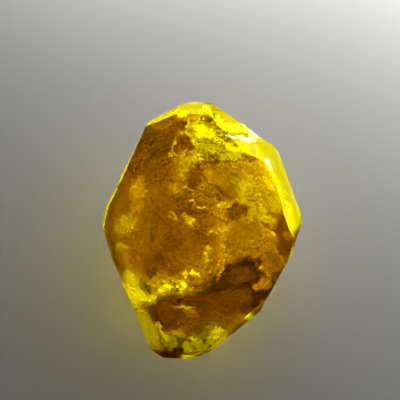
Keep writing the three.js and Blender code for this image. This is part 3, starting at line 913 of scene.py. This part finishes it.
crackle = add_node(
    tree,
    "ShaderNodeTexNoise",
    {"noise_type": "RIDGED_MULTIFRACTAL"},
    Vector=place,
    Scale=1 / (CRACKLE_APART * MM),
    Detail=3.0,
    Roughness=0.5,
).outputs[0]
hillock_size = {"Scale": 1 / (HILLOCKS_APART * MM), "Detail": 2.0}
hillocks = add_node(tree, "ShaderNodeTexNoise", None, Vector=place, **hillock_size)
height = maths("MULTIPLY", crackle, maths("MULTIPLY", hackly_here, on_break_here))
height = maths("ADD", height, maths("MULTIPLY", hillocks.outputs[0], on_faces))
relief = {"Strength": BUMP_STRENGTH, "Distance": BUMP_HEIGHT * MM}
bump = add_node(tree, "ShaderNodeBump", None, Height=height, **relief).outputs[0]

# %% [markdown]
# The crystal faces are bright near the rim. Those behind and underneath were etched to a fine frost,
# which catches light from behind and spreads it through the stone, so that the whole crystal glows.

# %% Polish and frost
BREAK_GLOSS, BRIGHT, FROSTED = 0.1, 0.12, 1.0
FROST_FROM, FROST_TO = 4.0, -2.0  # mm of the stone's own height, bright above and frosted below

ends = {"From_Min": FROST_TO * MM, "From_Max": FROST_FROM * MM, "To_Min": FROSTED, "To_Max": BRIGHT}
frost = add_node(tree, "ShaderNodeMapRange", SOFTLY, Value=depth, **ends)
frost = maths("SUBTRACT", frost.outputs["Result"], BREAK_GLOSS)
finish = maths("MULTIPLY_ADD", frost, on_faces, BREAK_GLOSS)

# %% [markdown]
# Transmission at 1 makes the surface clear, and the index bends the light. What the absorption colour is
# short of white, times the density, is how fast the stone takes light out, for each metre. The blue is
# gone within a few millimetres, but light that goes through from top to bottom keeps four fifths of its
# green and more of its red.

# %% Put the garnet together
GARNET_IOR = 1.735
ABSORPTION_COLOUR = (0.9933, 0.9905, 0.0, 1.0)
ABSORPTION_DENSITY = 900.0

shader = add_node(
    tree,
    "ShaderNodeBsdfPrincipled",
    Normal=bump,
    Base_Color=dimmed.outputs[2],
    Roughness=finish,
    IOR=GARNET_IOR,
    Transmission_Weight=1.0,
)
absorb = add_node(tree, "ShaderNodeVolumeAbsorption", Color=ABSORPTION_COLOUR, Density=ABSORPTION_DENSITY)
add_node(tree, "ShaderNodeOutputMaterial", Surface=shader.outputs[0], Volume=absorb.outputs[0])
crystal_mesh.materials.clear()
crystal_mesh.materials.append(garnet)
print("garnet:", len(tree.nodes), "nodes")

# %% [markdown]
# ## Floor
#
# A pale sheet of paper. A floor touching a clear stone shows in it as a grey haze, so mirror rays skip
# it, and it lies a twentieth of a millimetre lower so that the two surfaces never share a plane.

# %% Lay the floor
FLOOR_HALF, FLOOR_GAP = 2.0, 0.05 * MM
PAPER_COLOUR, PAPER_ROUGHNESS = "#f0f0ee", 0.9

corners = [(-FLOOR_HALF, -FLOOR_HALF, 0), (FLOOR_HALF, -FLOOR_HALF, 0)]
corners += [(FLOOR_HALF, FLOOR_HALF, 0), (-FLOOR_HALF, FLOOR_HALF, 0)]
floor_mesh = bpy.data.meshes.new("floor")
floor_mesh.from_pydata(corners, [], [(0, 1, 2, 3)])
floor = bpy.data.objects.new("floor", floor_mesh)
floor.location.z = -FLOOR_GAP
floor.visible_glossy = False
bpy.context.scene.collection.objects.link(floor)
paper = bpy.data.materials.new("pale paper")
paper.use_nodes = True
paper_shader = paper.node_tree.nodes["Principled BSDF"]
paper_shader.inputs["Base Color"].default_value = linear(PAPER_COLOUR)
paper_shader.inputs["Roughness"].default_value = PAPER_ROUGHNESS
floor_mesh.materials.append(paper)

# %% [markdown]
# ## Camera
#
# It looks down along the stone's own z axis, straight at the break, through a long lens as for any small
# thing.

# %% Set up the camera
CAMERA_RISE = math.radians(90) - LEAN
CAMERA_AIM = Vector((-0.0004, 0.0063, 0.011))
CAMERA_DISTANCE = 0.187
CAMERA_LENS = 90
NEAREST = 0.01  # nothing nearer than this is drawn

camera_data = bpy.data.cameras.new("camera")
camera_data.lens = CAMERA_LENS
camera_data.clip_start = NEAREST
camera = bpy.data.objects.new("camera", camera_data)
bpy.context.scene.collection.objects.link(camera)
bpy.context.scene.camera = camera
back = Vector((0, -math.cos(CAMERA_RISE), math.sin(CAMERA_RISE)))
camera.location = CAMERA_AIM + back * CAMERA_DISTANCE
camera.rotation_euler = (-back).to_track_quat("-Z", "Y").to_euler()

# %% [markdown]
# ## Light
#
# A clear stone lit from the front looks black, because the light goes in and leaves at the back. So
# nearly all the light comes from low behind it and from a pad of light below, and the sky is only a dim
# ring near the horizon. All of it is soft.

# %% The sky
SKY_STRENGTH = 0.45
SKY_RING = [(0.0, 1.0), (0.3, 1.0), (0.55, 0.04)]  # how high, from 0 level to 1 overhead, and how bright

world = bpy.data.worlds.new("studio")
bpy.context.scene.world = world
world.use_nodes = True
world.cycles_visibility.glossy = False
sky = world.node_tree
direction = add_node(sky, "ShaderNodeTexCoord").outputs["Generated"]
rise = add_node(sky, "ShaderNodeSeparateXYZ", Vector=direction).outputs["Z"]
ring = add_node(sky, "ShaderNodeValToRGB", Fac=rise)
ring.color_ramp.elements.new(0.5)
for stop, (level, brightness) in zip(ring.color_ramp.elements, SKY_RING):
    stop.position, stop.color = level, (brightness, brightness, brightness, 1)
sky.links.new(ring.outputs["Color"], sky.nodes["Background"].inputs["Color"])
sky.nodes["Background"].inputs["Strength"].default_value = SKY_STRENGTH


# %% [markdown]
# A soft box is a lamp behind a sheet of cloth. An area lamp does the same, and the larger it is, the
# softer its light. Two stand low behind the stone, and one lies flat at the bottom. Mirror rays don't see
# them, so that none shows as a white shape in a crystal face.

# %% Soft boxes
def softbox(name, place, size, watts, aim, shape="RECTANGLE"):
    """A lamp with a soft face of a given size, in metres."""
    lamp = bpy.data.lights.new(name, "AREA")
    lamp.shape = shape
    lamp.size, lamp.size_y = size
    lamp.energy = watts
    box = bpy.data.objects.new(name, lamp)
    bpy.context.scene.collection.objects.link(box)
    box.location = place
    box.rotation_euler = (Vector(aim) - Vector(place)).to_track_quat("-Z", "Y").to_euler()
    box.visible_camera = False
    box.visible_glossy = False
    return box


SOFTBOXES = [
    # name, where it is, size, watts, where it shines, shape
    ("back", (0.01, 0.085, 0.022), (0.13, 0.034), 0.045, (0, 0, 0.01), "RECTANGLE"),
    ("back right", (0.085, 0.05, 0.022), (0.1, 0.04), 0.032, (0, 0, 0.01), "RECTANGLE"),
    ("under", (0.001, 0.0035, 0.0002), (0.035, 0.04), 0.0034, (0.001, 0.0035, 1), "ELLIPSE"),
]
for row in SOFTBOXES:
    softbox(*row)

# %% [markdown]
# The bright rim needs more: small lamps just outside it, behind the crystal faces, as a collector holds a
# torch behind a stone. Light linking lets them light the crystal and nothing else.

# %% Small lamps behind the rim
TORCHES = [
    # name, where it is and where it shines in the stone's own axes, size, watts
    ("torch right", (21, 8, -9), (14.5, 6, -1), (5, 3), 0.0015),
    ("torch corner", (18.5, 16.5, 1.6), (12.5, 12, 1), (3, 2), 0.0028),
    ("torch top right", (11, 22, -5), (7.5, 16.5, 0), (4, 2), 0.0038),
    ("torch top", (-1.5, 26, -9), (-1.5, 20, -1), (6, 3), 0.0014),
    ("torch top left", (-10, 23, -8), (-7, 19, -1), (5, 3), 0.0008),
]
lit = bpy.data.collections.new("what the torches light")
lit.objects.link(crystal)
for name, place, aim, size, watts in TORCHES:
    box = softbox(name, to_scene(Vector(place)), Vector(size) * MM, watts, to_scene(Vector(aim)))
    box.light_linking.receiver_collection = lit
print("lamps:", len(bpy.data.lights))

# %% [markdown]
# Light in a clear stone turns many corners before it finds a way out, and every one is a bounce. With too
# few, the stone goes black inside. The plain view transform keeps the yellows as pure as they are.

# %% How light is counted
BOUNCES = 32

scene = bpy.context.scene
scene.view_settings.view_transform = "Standard"
scene.cycles.max_bounces = BOUNCES
scene.cycles.transmission_bounces = BOUNCES

# %% [markdown]
# ## Hand over
#
# The crystal is one piece on one body. It stands for the CAD solid, which stays on for collisions.

# %% Finish
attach(crystal, "root")
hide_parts("garnet_crystal")
